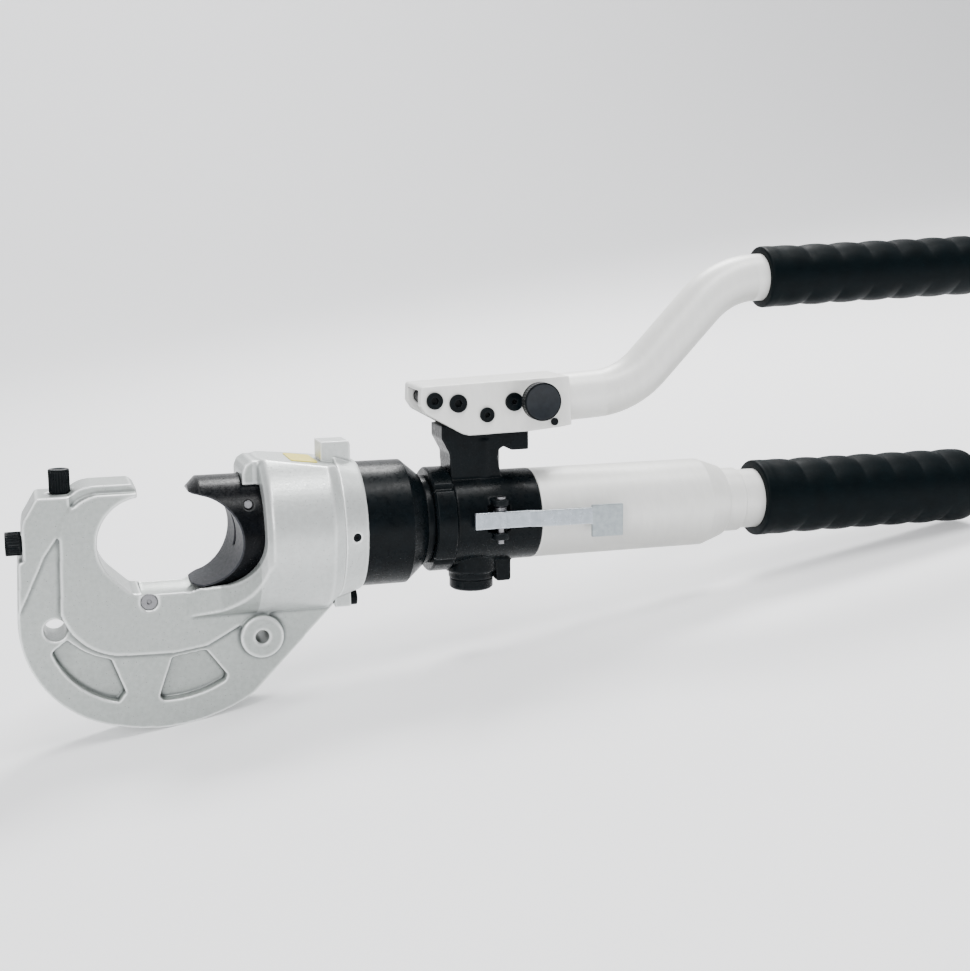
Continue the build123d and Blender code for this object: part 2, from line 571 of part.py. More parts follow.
finish(release_lever, "release_lever")

with BuildPart() as lever_pin:
    upright_rod((LEVER_PIVOT_X, LEVER_PIVOT_Y), 1.97, EAR_LOW[0] - 2.5, EAR_HIGH[1] + 1.5)
    upright_rod((LEVER_PIVOT_X, LEVER_PIVOT_Y), 3.0, EAR_HIGH[1] + 0.1, EAR_HIGH[1] + 1.5)
finish(lever_pin, "lever_pin")

with BuildPart() as lever_spring:
    coil(3.0, 0.4, 2.8, 0.9, (LEVER_PIVOT_X, LEVER_PIVOT_Y, LEVER_Z + LEVER_HALF + 0.05), (0, 0, 1))
finish(lever_spring, "lever_spring")

with BuildPart() as release_pin:
    cross_rod((RELEASE_X, LEVER_Z), 2.0, LEVER_INNER_Y + 0.2, -14.0)
finish(release_pin, "release_pin")

# ---------------------------------------------------------------- reservoir, tail tube and grip
STEP_X = 226.0
TAIL_FRONT_X = 222.1
TAIL_BACK_X = 400.0
GRIP_FRONT_X = 250.5
BORE_R = TUBE_R - TUBE_WALL

with BuildPart() as reservoir_tube:
    turned((BODY_BACK_X + 0.1, BORE_R), (BODY_BACK_X + 0.1, TUBE_R - 0.4), (BODY_BACK_X + 0.5, TUBE_R),
           (TUBE_END_X, TUBE_R), (STEP_X, 21.3), (STEP_X, TAIL_R + 0.05), (222.0, TAIL_R + 0.05),
           (222.0, 20.2), (TUBE_END_X - 0.6, BORE_R))
finish(reservoir_tube, "reservoir_tube")

with BuildPart() as step_ring:
    turned((STEP_X + 0.1, TAIL_R + 0.05), (STEP_X + 0.1, 19.4), (237.2, 19.4), (238.0, 18.6),
           (238.0, TAIL_R + 0.05))
finish(step_ring, "step_ring")

with BuildPart() as tail_tube:
    sleeve(TAIL_FRONT_X, TAIL_BACK_X, TAIL_R - TUBE_WALL, TAIL_R)
finish(tail_tube, "tail_tube")

with BuildPart() as oil_bladder:
    turned((112.2, 19.0), (112.2, 21.5), (202.0, 21.5), (206.0, 17.5), (206.0, 6.0), (204.4, 6.0),
           (204.4, 16.8), (201.0, 20.0), (113.8, 20.0), (113.8, 19.0))
finish(oil_bladder, "oil_bladder")

with BuildPart() as filler_plug:
    turned((202.0, 0), (202.0, 5.9), (206.1, 5.9), (206.1, 9.0), (210.0, 9.0), (210.0, 0))
finish(filler_plug, "filler_plug")

with BuildPart() as tail_plug:
    turned((390.0, 0), (390.0, TAIL_R - TUBE_WALL - 0.05), (TAIL_BACK_X, TAIL_R - TUBE_WALL - 0.05),
           (TAIL_BACK_X, 0))
finish(tail_plug, "tail_plug")


def grip(length, inner, outer, bore, plane):
    """A closed rubber sleeve with a rounded end, along the plane's local x axis."""
    round_r = 0.5 * outer
    with BuildSketch(plane) as section:
        with BuildLine():
            Polyline((0, inner), (0, outer - 1), (1, outer), (length - round_r, outer))
            ThreePointArc((length - round_r, outer),
                          (length - round_r * (1 - sin(radians(45))),
                           outer - round_r * (1 - cos(radians(45)))),
                          (length, outer - round_r))
            Polyline((length, outer - round_r), (length, 0), (bore, 0), (bore, inner), (0, inner))
        make_face()
    revolve(section.sketch, axis=Axis(plane.origin, plane.x_dir))


with BuildPart() as fixed_grip:
    grip(GRIP_END_X - GRIP_FRONT_X, TAIL_R + 0.05, GRIP_R, TAIL_BACK_X - GRIP_FRONT_X + 0.2,
         Plane(origin=(GRIP_FRONT_X, 0, 0), x_dir=(1, 0, 0), z_dir=(0, -1, 0)))
finish(fixed_grip, "fixed_grip")

# ---------------------------------------------------------------- handle
HANDLE_START = Vector(124.0, 0, 67.4)
LOWER_BEND = Vector(165.6, 0, 70.0)
UPPER_BEND = Vector(226.9, 0, 134.3)
HANDLE_END = Vector(400.0, 0, 140.6)
BEND_R = 50.0
WEB_PLATE = 2.8

start_run = (LOWER_BEND - HANDLE_START).normalized()
end_run = (HANDLE_END - UPPER_BEND).normalized()
socket_plane = Plane(origin=HANDLE_START, x_dir=start_run, z_dir=(0, -1, 0))

with BuildPart() as clevis:
    side_prism([(36.0, 78.4), (34.8, 77.4), (34.4, 67.9), (37.6, 62.9), (59.0, 50.8), (63.0, 49.7),
                (98.6, 50.6), (118.8, 52.4), (124.8, 53.4), (123.1, 81.4), (120.5, 81.6)],
               CHEEK_OUTER)
    side_prism([(30.0, 40.0), (30.0, 78.2 - WEB_PLATE), (116.5, 81.4 - WEB_PLATE), (116.5, 40.0)],
               CHEEK_INNER, mode=Mode.SUBTRACT)
    turned((-4, 0), (-4, 11.4), (22, 11.4), (22, 0), plane=socket_plane)
    cross_rod(KNOB, 6.4, -21.5, -CHEEK_OUTER)
    cross_rod(PIVOT, PIVOT_R + 0.02, -30, 30, mode=Mode.SUBTRACT)
    cross_rod(STOP_BOLT, 4.02, -30, 30, mode=Mode.SUBTRACT)
    cross_rod(PLUNGER_PIN, 3.02, -30, 30, mode=Mode.SUBTRACT)
    cross_rod(SIDE_STUD, 3.02, -30, 30, mode=Mode.SUBTRACT)
    cross_rod(KNOB, 3.5 + RUNNING_GAP, -30, -5, mode=Mode.SUBTRACT)
    cross_rod((114.0, 55.6), 1.5, -30, -13.5, mode=Mode.SUBTRACT)
finish(clevis, "clevis")


def headed_pin(place, radius, head_r, key):
    """A cross pin with a socket head on the near cheek and a plain end on the far one."""
    cross_rod(place, radius, -CHEEK_OUTER, CHEEK_OUTER + 0.6)
    cross_rod(place, head_r, -CHEEK_OUTER - 1.6, -CHEEK_OUTER)
    socket_hex(place, key, -CHEEK_OUTER - 1.7, -CHEEK_OUTER + 1.5)


with BuildPart() as pivot_pin:
    headed_pin(PIVOT, PIVOT_R, 5.2, 4.0)
finish(pivot_pin, "pivot_pin")

with BuildPart() as stop_bolt:
    headed_pin(STOP_BOLT, 4.0, 4.8, 4.0)
finish(stop_bolt, "stop_bolt")

with BuildPart() as plunger_pin:
    headed_pin(PLUNGER_PIN, 3.0, 4.3, 3.0)
finish(plunger_pin, "plunger_pin")

with BuildPart() as side_stud:
    headed_pin(SIDE_STUD, 3.0, 5.3, 3.0)
finish(side_stud, "side_stud")

with BuildPart() as cheek_screw:
    cross_rod((114.0, 55.6), 1.45, -CHEEK_OUTER, -14.0)
    cross_rod((114.0, 55.6), 2.2, -CHEEK_OUTER - 1.0, -CHEEK_OUTER)
finish(cheek_screw, "cheek_screw")

with BuildPart() as lock_knob:
    cross_rod(KNOB, 10.9, -34.5, -27.5)
    chamfer(lock_knob.edges().filter_by(GeomType.CIRCLE), 0.7)
    cross_rod(KNOB, 3.5, -30.0, -11.9)
finish(lock_knob, "lock_knob")

with BuildPart() as knob_spring:
    coil(4.9, 0.5, 5.8, 1.5, (KNOB[0], -21.6, KNOB[1]), (0, -1, 0))
finish(knob_spring, "knob_spring")

with BuildPart() as handle_tube:
    with BuildLine() as handle_path:
        FilletPolyline(HANDLE_START + start_run * 0.1, LOWER_BEND, UPPER_BEND, HANDLE_END,
                       radius=BEND_R)
    with BuildSketch(Plane(origin=handle_path.line @ 0, z_dir=handle_path.line % 0)):
        Circle(HANDLE_TUBE_R)
        Circle(HANDLE_TUBE_R - TUBE_WALL, mode=Mode.SUBTRACT)
    sweep(path=handle_path.line)
finish(handle_tube, "handle_tube")

UPPER_GRIP_LENGTH = 153.0
grip_start = HANDLE_END - end_run * 148.0
grip_plane = Plane(origin=grip_start, x_dir=end_run, z_dir=(0, -1, 0))

with BuildPart() as handle_grip:
    grip(UPPER_GRIP_LENGTH, HANDLE_TUBE_R + 0.05, HANDLE_GRIP_R, 148.2, grip_plane)
finish(handle_grip, "handle_grip")

with BuildPart() as handle_plug:
    turned((138.0, 0), (138.0, HANDLE_TUBE_R - TUBE_WALL - 0.05),
           (148.0, HANDLE_TUBE_R - TUBE_WALL - 0.05), (148.0, 0), plane=grip_plane)
finish(handle_plug, "handle_plug")

# ---------------------------------------------------------------- stand the tool on its jaw and grip
tilt = Location((0, 0, 0), (0, STAND_TILT, 0))
footprint = Compound([piece.moved(tilt) for piece in pieces]).bounding_box()
centre = footprint.center()
stand = Location((-centre.X, -centre.Y, -footprint.min.Z), (0, STAND_TILT, 0))
for piece in pieces:
    standing = piece.moved(stand)
    standing.label = piece.label
    export_step(standing, f"parts/{piece.label}.step")
print("stands at", stand, "and measures", footprint.size)
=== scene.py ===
import json
import math

import bpy
from mathutils import Matrix, Vector

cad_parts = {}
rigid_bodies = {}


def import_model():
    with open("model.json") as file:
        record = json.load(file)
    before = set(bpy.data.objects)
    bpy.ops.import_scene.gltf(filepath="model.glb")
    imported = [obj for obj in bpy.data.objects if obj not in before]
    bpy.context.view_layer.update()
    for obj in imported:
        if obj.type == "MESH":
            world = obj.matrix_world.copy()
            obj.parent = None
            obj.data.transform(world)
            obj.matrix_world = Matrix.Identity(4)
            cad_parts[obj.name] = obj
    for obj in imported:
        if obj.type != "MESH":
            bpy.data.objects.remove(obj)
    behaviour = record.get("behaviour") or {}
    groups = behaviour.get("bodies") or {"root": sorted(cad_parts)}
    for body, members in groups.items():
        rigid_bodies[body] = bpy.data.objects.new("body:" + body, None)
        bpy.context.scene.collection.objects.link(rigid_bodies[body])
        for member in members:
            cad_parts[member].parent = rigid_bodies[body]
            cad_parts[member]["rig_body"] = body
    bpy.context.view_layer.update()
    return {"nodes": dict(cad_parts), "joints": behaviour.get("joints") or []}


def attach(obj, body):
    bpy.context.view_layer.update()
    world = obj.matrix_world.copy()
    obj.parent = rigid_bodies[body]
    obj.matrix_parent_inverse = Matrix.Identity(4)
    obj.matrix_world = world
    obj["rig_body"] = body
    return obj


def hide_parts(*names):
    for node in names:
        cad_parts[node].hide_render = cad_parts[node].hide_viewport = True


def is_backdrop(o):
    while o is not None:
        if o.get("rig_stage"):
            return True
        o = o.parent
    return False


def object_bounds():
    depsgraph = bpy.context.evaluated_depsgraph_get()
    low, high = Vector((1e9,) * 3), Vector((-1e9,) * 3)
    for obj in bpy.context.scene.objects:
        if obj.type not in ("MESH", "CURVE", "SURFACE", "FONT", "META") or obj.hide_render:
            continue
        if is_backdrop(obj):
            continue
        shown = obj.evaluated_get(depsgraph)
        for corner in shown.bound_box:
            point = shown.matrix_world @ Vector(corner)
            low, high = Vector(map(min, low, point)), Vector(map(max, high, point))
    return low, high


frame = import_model()
NODES = frame["nodes"]
JOINTS = {joint["name"]: joint for joint in frame["joints"]}
MM = 0.001

# ---------------------------------------------------------------- the tool's own frame
# X runs along the tool axis, Z towards the handle, and Y across; the swivel joint sits on
# that axis, 10 mm in front of the origin that the sub-parts are drawn about.
TOOL_X = Vector(JOINTS["head_swivel"]["axis"]).normalized()
TOOL_Y = Vector((0, 1, 0))
TOOL_Z = TOOL_X.cross(TOOL_Y)
TOOL_ORIGIN = Vector(JOINTS["head_swivel"]["pos_m"]) + TOOL_X * 10 * MM
TOOL = Matrix((TOOL_X, TOOL_Y, TOOL_Z)).transposed().to_4x4()
TOOL.translation = TOOL_ORIGIN
TO_TOOL = TOOL.inverted()
TILT = math.asin(-TOOL_X.z)


def tool_box(node):
    """Lowest and highest corner of a CAD node in the tool frame, in millimetres."""
    points = [TO_TOOL @ v.co / MM for v in NODES[node].data.vertices]
    low = Vector([min(p[k] for p in points) for k in range(3)])
    high = Vector([max(p[k] for p in points) for k in range(3)])
    return low, high


# ---------------------------------------------------------------- materials
def surface(name, base, metallic, roughness, tone=0.06, tone_size=6.0, grain_size=0.5, grain=0.1,
            rough_spread=0.08, stretch=(1, 1, 1), specular=0.5, wear_and_sheen=None, hollow_shade=None,
            underside_shade=None, stain=None):
    """A procedural finish: mottled colour, uneven gloss, fine relief, edges lightened by wear and a
    painted highlight, painted shade in hollows and on the underside.
    """
    material = bpy.data.materials.new(name)
    material.use_nodes = True
    nodes, links = material.node_tree.nodes, material.node_tree.links
    shader = nodes["Principled BSDF"]
    shader.inputs["Metallic"].default_value = metallic
    shader.inputs["Specular IOR Level"].default_value = specular
    coords = nodes.new("ShaderNodeTexCoord")
    mapping = nodes.new("ShaderNodeMapping")
    mapping.inputs["Rotation"].default_value = (0, -TILT, 0)
    mapping.inputs["Scale"].default_value = stretch
    links.new(coords.outputs["Object"], mapping.inputs["Vector"])

    def noise(size_mm, detail):
        texture = nodes.new("ShaderNodeTexNoise")
        texture.inputs["Scale"].default_value = 1 / (size_mm * MM)
        texture.inputs["Detail"].default_value = detail
        links.new(mapping.outputs["Vector"], texture.inputs["Vector"])
        return texture.outputs["Fac"]

    def blend(factor, first, second):
        mix = nodes.new("ShaderNodeMix")
        mix.data_type = "RGBA"
        links.new(factor, mix.inputs["Factor"])
        for socket, value in ((mix.inputs[6], first), (mix.inputs[7], second)):
            if isinstance(value, tuple):
                socket.default_value = (*value, 1)
            else:
                links.new(value, socket)
        return mix.outputs[2]

    def ramp(factor, low, high, to_low=0.0, to_high=1.0):
        rng = nodes.new("ShaderNodeMapRange")
        rng.inputs["From Min"].default_value = low
        rng.inputs["From Max"].default_value = high
        rng.inputs["To Min"].default_value = to_low
        rng.inputs["To Max"].default_value = to_high
        links.new(factor, rng.inputs["Value"])
        return rng.outputs["Result"]

    dark = tuple(max(0.0, c * (1 - tone)) for c in base)
    light = tuple(min(1.0, c * (1 + tone)) for c in base)
    colour = blend(ramp(noise(tone_size, 5), 0.34, 0.66), dark, light)
    fine = noise(grain_size, 3)
    rough = ramp(noise(tone_size * 0.35, 6), 0.3, 0.7, roughness - rough_spread,
                 roughness + rough_spread)
    if stain:
        amount, stain_colour, size = stain
        patch = ramp(noise(size, 7), 0.60, 0.75, 0.0, amount)
        colour = blend(patch, colour, stain_colour)
    # Painted shade: faces turned downwards are darkened, standing in for the shade beneath the piece.
    if underside_shade:
        amount, underside_shade_colour = underside_shade
        facing = nodes.new("ShaderNodeSeparateXYZ")
        links.new(coords.outputs["Normal"], facing.inputs["Vector"])
        below = ramp(facing.outputs["Z"], -0.95, -0.05, amount, 0.0)
        colour = blend(below, colour, underside_shade_colour)
    if wear_and_sheen or hollow_shade:
        geometry = nodes.new("ShaderNodeNewGeometry")
    # Edges are lightened: partly worn metal, partly a painted highlight where light catches the bevels.
    if wear_and_sheen:
        amount, wear_and_sheen_colour = wear_and_sheen
        edge = ramp(geometry.outputs["Pointiness"], 0.504, 0.530, 0.0, amount)
        colour = blend(edge, colour, wear_and_sheen_colour)
    # Painted shade: hollows and inner corners are darkened where shade falls.
    if hollow_shade:
        amount, hollow_shade_colour = hollow_shade
        hollow = ramp(geometry.outputs["Pointiness"], 0.465, 0.496, amount, 0.0)
        colour = blend(hollow, colour, hollow_shade_colour)
    links.new(colour, shader.inputs["Base Color"])
    links.new(rough, shader.inputs["Roughness"])
    bump = nodes.new("ShaderNodeBump")
    bump.inputs["Strength"].default_value = grain
    bump.inputs["Distance"].default_value = 0.1 * MM
    links.new(fine, bump.inputs["Height"])
    links.new(bump.outputs["Normal"], shader.inputs["Normal"])
    return material


MATERIALS = {
    # The forging's edges take a painted highlight as well as worn metal, and its hollows take painted
    # shade.
    "forged_alloy": surface("forged_alloy_satin", (0.38, 0.405, 0.39), 0.55, 0.36, tone=0.07,
                            tone_size=2.4, grain_size=0.6, grain=0.40, rough_spread=0.10,
                            wear_and_sheen=(0.9, (0.86, 0.88, 0.87)), hollow_shade=(0.85, (0.10, 0.11, 0.11)),
                            stain=(0.30, (0.30, 0.31, 0.29), 2.2)),
    "blackened_steel": surface("black_oxide", (0.0020, 0.0036, 0.0046), 0.0, 0.30, tone=0.25,
                               tone_size=8, grain_size=0.6, grain=0.12, specular=0.09,
                               wear_and_sheen=(0.3, (0.02, 0.022, 0.024))),
    "black_ram": surface("black_oxide_ram", (0.0020, 0.0026, 0.0036), 0.0, 0.28, tone=0.3,
                         tone_size=5, grain_size=0.5, grain=0.12, specular=0.09,
                         wear_and_sheen=(0.5, (0.07, 0.07, 0.07))),
    "silver_tube": surface("satin_silver", (0.78, 0.78, 0.755), 0.12, 0.42, tone=0.03,
                           tone_size=10, grain_size=0.4, grain=0.06, rough_spread=0.05,
                           stretch=(3, 1, 1), wear_and_sheen=(0.4, (0.92, 0.92, 0.90)),
                           # painted shade along the tube's underside
                           underside_shade=(0.85, (0.30, 0.30, 0.28)),
                           stain=(0.14, (0.62, 0.62, 0.58), 3)),
    "zinc_steel": surface("zinc_plate", (0.36, 0.40, 0.44), 0.85, 0.32, tone=0.10, tone_size=4,
                          grain_size=0.35, grain=0.10, wear_and_sheen=(0.4, (0.78, 0.82, 0.86))),
    "bright_steel": surface("bright_steel", (0.22, 0.22, 0.23), 1.0, 0.32, tone=0.06,
                            tone_size=3, grain_size=0.3, grain=0.08, stretch=(4, 1, 1)),
    "spring_steel": surface("spring_wire", (0.24, 0.24, 0.25), 1.0, 0.34, tone=0.12,
                            tone_size=2, grain_size=0.3, grain=0.08),
    "bronze": surface("bronze", (0.52, 0.34, 0.14), 1.0, 0.34, tone=0.10, tone_size=3,
                      grain_size=0.3, grain=0.08),
    "seal_rubber": surface("seal_rubber", (0.010, 0.010, 0.011), 0.0, 0.6, tone=0.2,
                           tone_size=3, grain_size=0.25, grain=0.25, specular=0.2),
    "grip_rubber": surface("grip_rubber", (0.0008, 0.0030, 0.0040), 0.0, 0.50, tone=0.18,
                           tone_size=10, grain_size=0.45, grain=0.25, rough_spread=0.06,
                           specular=0.06, stain=(0.25, (0.004, 0.006, 0.0065), 3)),
    "label_yellow": surface("label_yellow", (0.78, 0.66, 0.05), 0.0, 0.38, tone=0.08,
                            tone_size=5, grain_size=0.4, grain=0.10,
                            stain=(0.3, (0.45, 0.38, 0.10), 4)),
}
# A lighter copy of the forging's finish: painted light for the barrel and ring, which face the lamps
# more.
BARREL_LIT = surface("barrel_lit_copy", (0.56, 0.585, 0.575), 0.45, 0.36, tone=0.05,
                       tone_size=2.6, grain_size=0.6, grain=0.30, rough_spread=0.10,
                       wear_and_sheen=(0.9, (0.88, 0.90, 0.89)), hollow_shade=(0.7, (0.14, 0.15, 0.15)),
                       stain=(0.25, (0.40, 0.42, 0.40), 2.4))
SEAT_GREY = surface("ram_seat_grey", (0.034, 0.036, 0.042), 0.0, 0.50, tone=0.12, tone_size=4,
                    grain_size=0.4, grain=0.15, specular=0.08, stain=(0.3, (0.06, 0.06, 0.068), 2.5))
PAD_ZINC = surface("lever_pad_zinc", (0.34, 0.38, 0.40), 0.8, 0.40, tone=0.10, tone_size=3,
                   grain_size=0.3, grain=0.2, stain=(0.3, (0.30, 0.34, 0.36), 2))
KNOB_FACE = surface("knob_face", (0.011, 0.0135, 0.017), 0.0, 0.42, tone=0.15, tone_size=3,
                    grain_size=0.3, grain=0.2, specular=0.2)

for node, carried in NODES.items():
    slot = carried.data.materials[0].name.split(".")[0]
    carried["slot"] = slot
    for place in carried.material_slots:
        place.material = MATERIALS[slot]


# ---------------------------------------------------------------- shared making
def stand_for(piece, node, *more_materials):
    """The piece takes a CAD node's body, slot and finish, and is shown in its place."""
    cad = NODES[node]
    chosen = [polygon.material_index for polygon in piece.data.polygons]
    piece.data.materials.clear()
    for material in (MATERIALS[cad["slot"]], *more_materials):
        piece.data.materials.append(material)
    piece.data.polygons.foreach_set("material_index", chosen)
    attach(piece, cad["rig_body"])
    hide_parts(node)
    return piece


def linked(name, mesh):
    piece = bpy.data.objects.new(name, mesh)
    bpy.context.scene.collection.objects.link(piece)
    return piece


def settled(piece):
    """Applies the piece's modifiers."""
    graph = bpy.context.evaluated_depsgraph_get()
    mesh = bpy.data.meshes.new_from_object(piece.evaluated_get(graph))
    piece.modifiers.clear()
    old, piece.data = piece.data, mesh
    bpy.data.meshes.remove(old)
    for polygon in mesh.polygons:
        polygon.use_smooth = True
    return mesh


def softened(node, voxel, rounds):
    """A node's shape with its edges eased, as a casting or a deburred part has them."""
    mesh = NODES[node].data.copy()
    mesh.transform(TO_TOOL)
    piece = linked(f"{node}_eased", mesh)
    skin = piece.modifiers.new("skin", "REMESH")
    skin.mode = "VOXEL"
    skin.voxel_size = voxel * MM
    ease = piece.modifiers.new("ease", "SMOOTH")
    ease.factor = 0.5
    ease.iterations = rounds
    settled(piece)
    return piece


def eased(corners, radius, closed=False, steps=5):
    """A polyline's corners rounded, with a support point where each flat begins."""
    points = []
    count = len(corners)
    for i, corner in enumerate(corners):
        here = Vector(corner)
        if not closed and i in (0, count - 1) or here.y == 0:
            points.append(here)
            continue
        back = Vector(corners[i - 1]) - here
        ahead = Vector(corners[(i + 1) % count]) - here
        half = back.angle(ahead) / 2
        if half > math.radians(86):
            points.append(here)
            continue
        run = min(radius / math.tan(half), 0.4 * back.length, 0.4 * ahead.length)
        start, end = here + back.normalized() * run, here + ahead.normalized() * run
        points.append(here + back.normalized() * run * 1.2)
        for k in range(steps + 1):
            t = k / steps
            points.append(start * (1 - t) ** 2 + here * 2 * t * (1 - t) + end * t ** 2)
        points.append(here + ahead.normalized() * run * 1.2)
    return points


def lathe(name, profile, origin=(0, 0, 0), axis=(1, 0, 0), up=(0, 0, 1), segments=96,
          closed=True, shape=None):
    """Turns (along, radius) points about an axis of the tool frame; shape may move each radius."""
    axis, up = Vector(axis).normalized(), Vector(up)
    up = (up - axis * up.dot(axis)).normalized()
    side = axis.cross(up)
    origin = Vector(origin)
    verts, rings = [], []
    for along, radius in profile:
        centre = origin + axis * along
        if radius < 1e-6:
            rings.append([len(verts)])
            verts.append(centre)
            continue
        rings.append(list(range(len(verts), len(verts) + segments)))
        for k in range(segments):
            angle = math.tau * k / segments
            r = shape(along, angle, radius) if shape else radius
            verts.append(centre + (up * math.cos(angle) + side * math.sin(angle)) * r)
    faces = []
    pairs = list(zip(rings, rings[1:]))
    if closed:
        pairs.append((rings[-1], rings[0]))
    for low, high in pairs:
        if len(low) == 1 and len(high) == 1:
            continue
        for k in range(segments):
            n = (k + 1) % segments
            if len(low) == 1:
                faces.append((low[0], high[n], high[k]))
            elif len(high) == 1:
                faces.append((low[k], low[n], high[0]))
            else:
                faces.append((low[k], low[n], high[n], high[k]))
    mesh = bpy.data.meshes.new(name)
    mesh.from_pydata([v * MM for v in verts], [], faces)
    mesh.validate()
    mesh.update()
    for polygon in mesh.polygons:
        polygon.use_smooth = True
    return linked(name, mesh)


def place(piece):
    """Takes a piece drawn in the tool frame to where the tool stands."""
    piece.data.transform(TOOL)
    return piece


# ---------------------------------------------------------------- cast, forged and pressed parts
EASED = {
    "pump_body": (0.6, 4),
    "clevis": (0.55, 3), "valve_cap": (0.4, 2), "relief_valve": (0.35, 2),
    "plunger_gland": (0.35, 1), "plunger": (0.4, 2), "die_catch": (0.25, 2),
    "catch_screw": (0.22, 2), "die_clip_pin": (0.22, 2), "ring_screw": (0.25, 2),
    "ring_grub_screw": (0.16, 1), "label_plate": (0.2, 1), "lever_pin": (0.25, 2),
    "pivot_pin": (0.25, 2), "stop_bolt": (0.25, 2), "plunger_pin": (0.25, 2),
    "side_stud": (0.25, 2), "cheek_screw": (0.2, 2),
}
for node, (voxel, rounds) in EASED.items():
    stand_for(place(softened(node, voxel, rounds)), node)

# The head's barrel and its ring take a lighter copy of the forging's finish: painted light, as they
# face the lamps more than the web does.
BARREL_FRONT_X, BARREL_R = -60.5, 46.6
head = softened("head_frame", 0.75, 8)
for polygon in head.data.polygons:
    at = polygon.center / MM
    if at.x > BARREL_FRONT_X and math.hypot(at.y, at.z) < BARREL_R:
        polygon.material_index = 1
stand_for(place(head), "head_frame", BARREL_LIT)
ring = softened("retaining_ring", 0.55, 4)
for polygon in ring.data.polygons:
    polygon.material_index = 1
stand_for(place(ring), "retaining_ring", BARREL_LIT)

# The ram's seat and the lever's pad have another finish than the rest of the piece.
SEAT_CENTRE = Vector((-93.5, 0, 0))
SEAT_R = 25.0
ram = softened("ram", 0.5, 2)
for polygon in ram.data.polygons:
    centre = polygon.center / MM - SEAT_CENTRE
    if math.hypot(centre.x, centre.z) < SEAT_R + 0.8 and centre.x > -1.5:
        polygon.material_index = 1
stand_for(place(ram), "ram", SEAT_GREY)

PAD_FRONT_X = 130.9
lever = softened("release_lever", 0.35, 2)
for polygon in lever.data.polygons:
    if polygon.center.x / MM > PAD_FRONT_X:
        polygon.material_index = 1
stand_for(place(lever), "release_lever", PAD_ZINC)

# ---------------------------------------------------------------- turned parts
BORE, GAP = 24.3, 0.05
cylinder = [(-44.95, BORE), (-44.95, 35.6), (-17, 35.6), (-17, 33.6), (-14.8, 33.6),
            (-14.8, 35.6), (26, 35.6), (36, 27), (36, 20.02), (22, 20.02), (22, 4), (14, 4), (14, BORE)]
stand_for(place(lathe("cylinder_turned", eased(cylinder, 0.6, closed=True), segments=160)),
          "cylinder")

NOTCH_R, NOTCHES = 2.2, 4


def notched(along, angle, radius):
    """The collar's four spanner notches."""
    if radius < 26:
        return radius
    turn = (angle + math.pi / 4) % (math.tau / NOTCHES)
    across = min(turn, math.tau / NOTCHES - turn) * radius
    return radius - max(0.0, math.sqrt(max(0.0, NOTCH_R ** 2 - across ** 2)) - 0.3)


collar = [(40.7, 24.05), (40.7, 29.2), (41.7, 30.2), (51.9, 30.2), (52.9, 29.2), (52.9, 24.05)]
stand_for(place(lathe("collar_turned", eased(collar, 0.5, closed=True), segments=256,
                      shape=notched)), "collar_nut")

TUBE_R, TAIL_R = 26.3, 18.0
tube = [(104.1, 23.8), (104.1, TUBE_R), (212, TUBE_R), (226, 21.3), (226, 18.05), (222, 18.05),
        (222, 20.2), (211.4, 23.8)]
stand_for(place(lathe("reservoir_turned", eased(tube, 1.6, closed=True), segments=160)),
          "reservoir_tube")
step = [(226.1, 18.05), (226.1, 19.4), (237.2, 19.4), (238, 18.6), (238, 18.05)]
stand_for(place(lathe("step_ring_turned", eased(step, 0.3, closed=True), segments=128)),
          "step_ring")
tail = [(222.1, 15.5), (222.1, TAIL_R), (400, TAIL_R), (400, 15.5)]
stand_for(place(lathe("tail_turned", eased(tail, 0.5, closed=True), segments=128)), "tail_tube")


# ---------------------------------------------------------------- knurled buttons and knob
def ribs(count, depth, low, high, least_radius):
    """Straight knurling round the radii above least_radius, between two places along the axis."""
    def shape(along, angle, radius):
        if radius < least_radius or not low <= along <= high:
            return radius
        return radius - depth * (0.5 - 0.5 * math.cos(count * angle)) ** 0.7
    return shape


def spread(points, low, high, pitch=1.0):
    """Adds rings along straight runs so that knurling starts and stops crisply."""
    out = []
    for here, there in zip(points, points[1:]):
        out.append(here)
        if abs(here.y - there.y) < 1e-6 and (there - here).length > 2 * pitch:
            steps = int((there - here).length / pitch)
            out.extend(here.lerp(there, k / steps) for k in range(1, steps))
    return [*out, points[-1]]


def button(name, node, origin, axis, head_r, head, collar_end, stem_end, count):
    """A knurled push button: head, shoulder and guide stem, along its own axis."""
    low, high = head
    outline = [(high, 0), (high, head_r), (low, head_r), (low, 4.3), (collar_end, 4.3),
               (collar_end, 2.0), (stem_end, 2.0), (stem_end, 0)]
    points = [Vector(outline[0]), *eased(outline, 0.7)[1:-1], Vector(outline[-1])]
    points = spread(points, low, high)
    # A shallow dish in the end of the head.
    dish = [Vector((high - 0.5, 0)), Vector((high - 0.5, head_r * 0.5)),
            Vector((high - 0.1, head_r * 0.66)), Vector((high, head_r * 0.76))]
    shape = ribs(count, 0.38, low + 0.8, high - 0.8, head_r - 0.2)
    made = lathe(name, dish + points[1:], origin, axis, up=(0, 1, 0), segments=count * 8,
                 closed=False, shape=shape)
    return stand_for(place(made), node)


top_low, top_high = tool_box("top_button")
top_x = (top_low.x + top_high.x) / 2
button("top_button_knurled", "top_button", (top_x, 0, 0), (0, 0, 1), 5.6, (27.3, top_high.z),
       22.0, top_low.z, 24)
front_low, front_high = tool_box("front_button")
front_z = (front_low.z + front_high.z) / 2
button("front_button_knurled", "front_button", (0, 0, front_z), (-1, 0, 0), 6.5,
       (182.3, -front_low.x), 178.5, -front_high.x, 26)

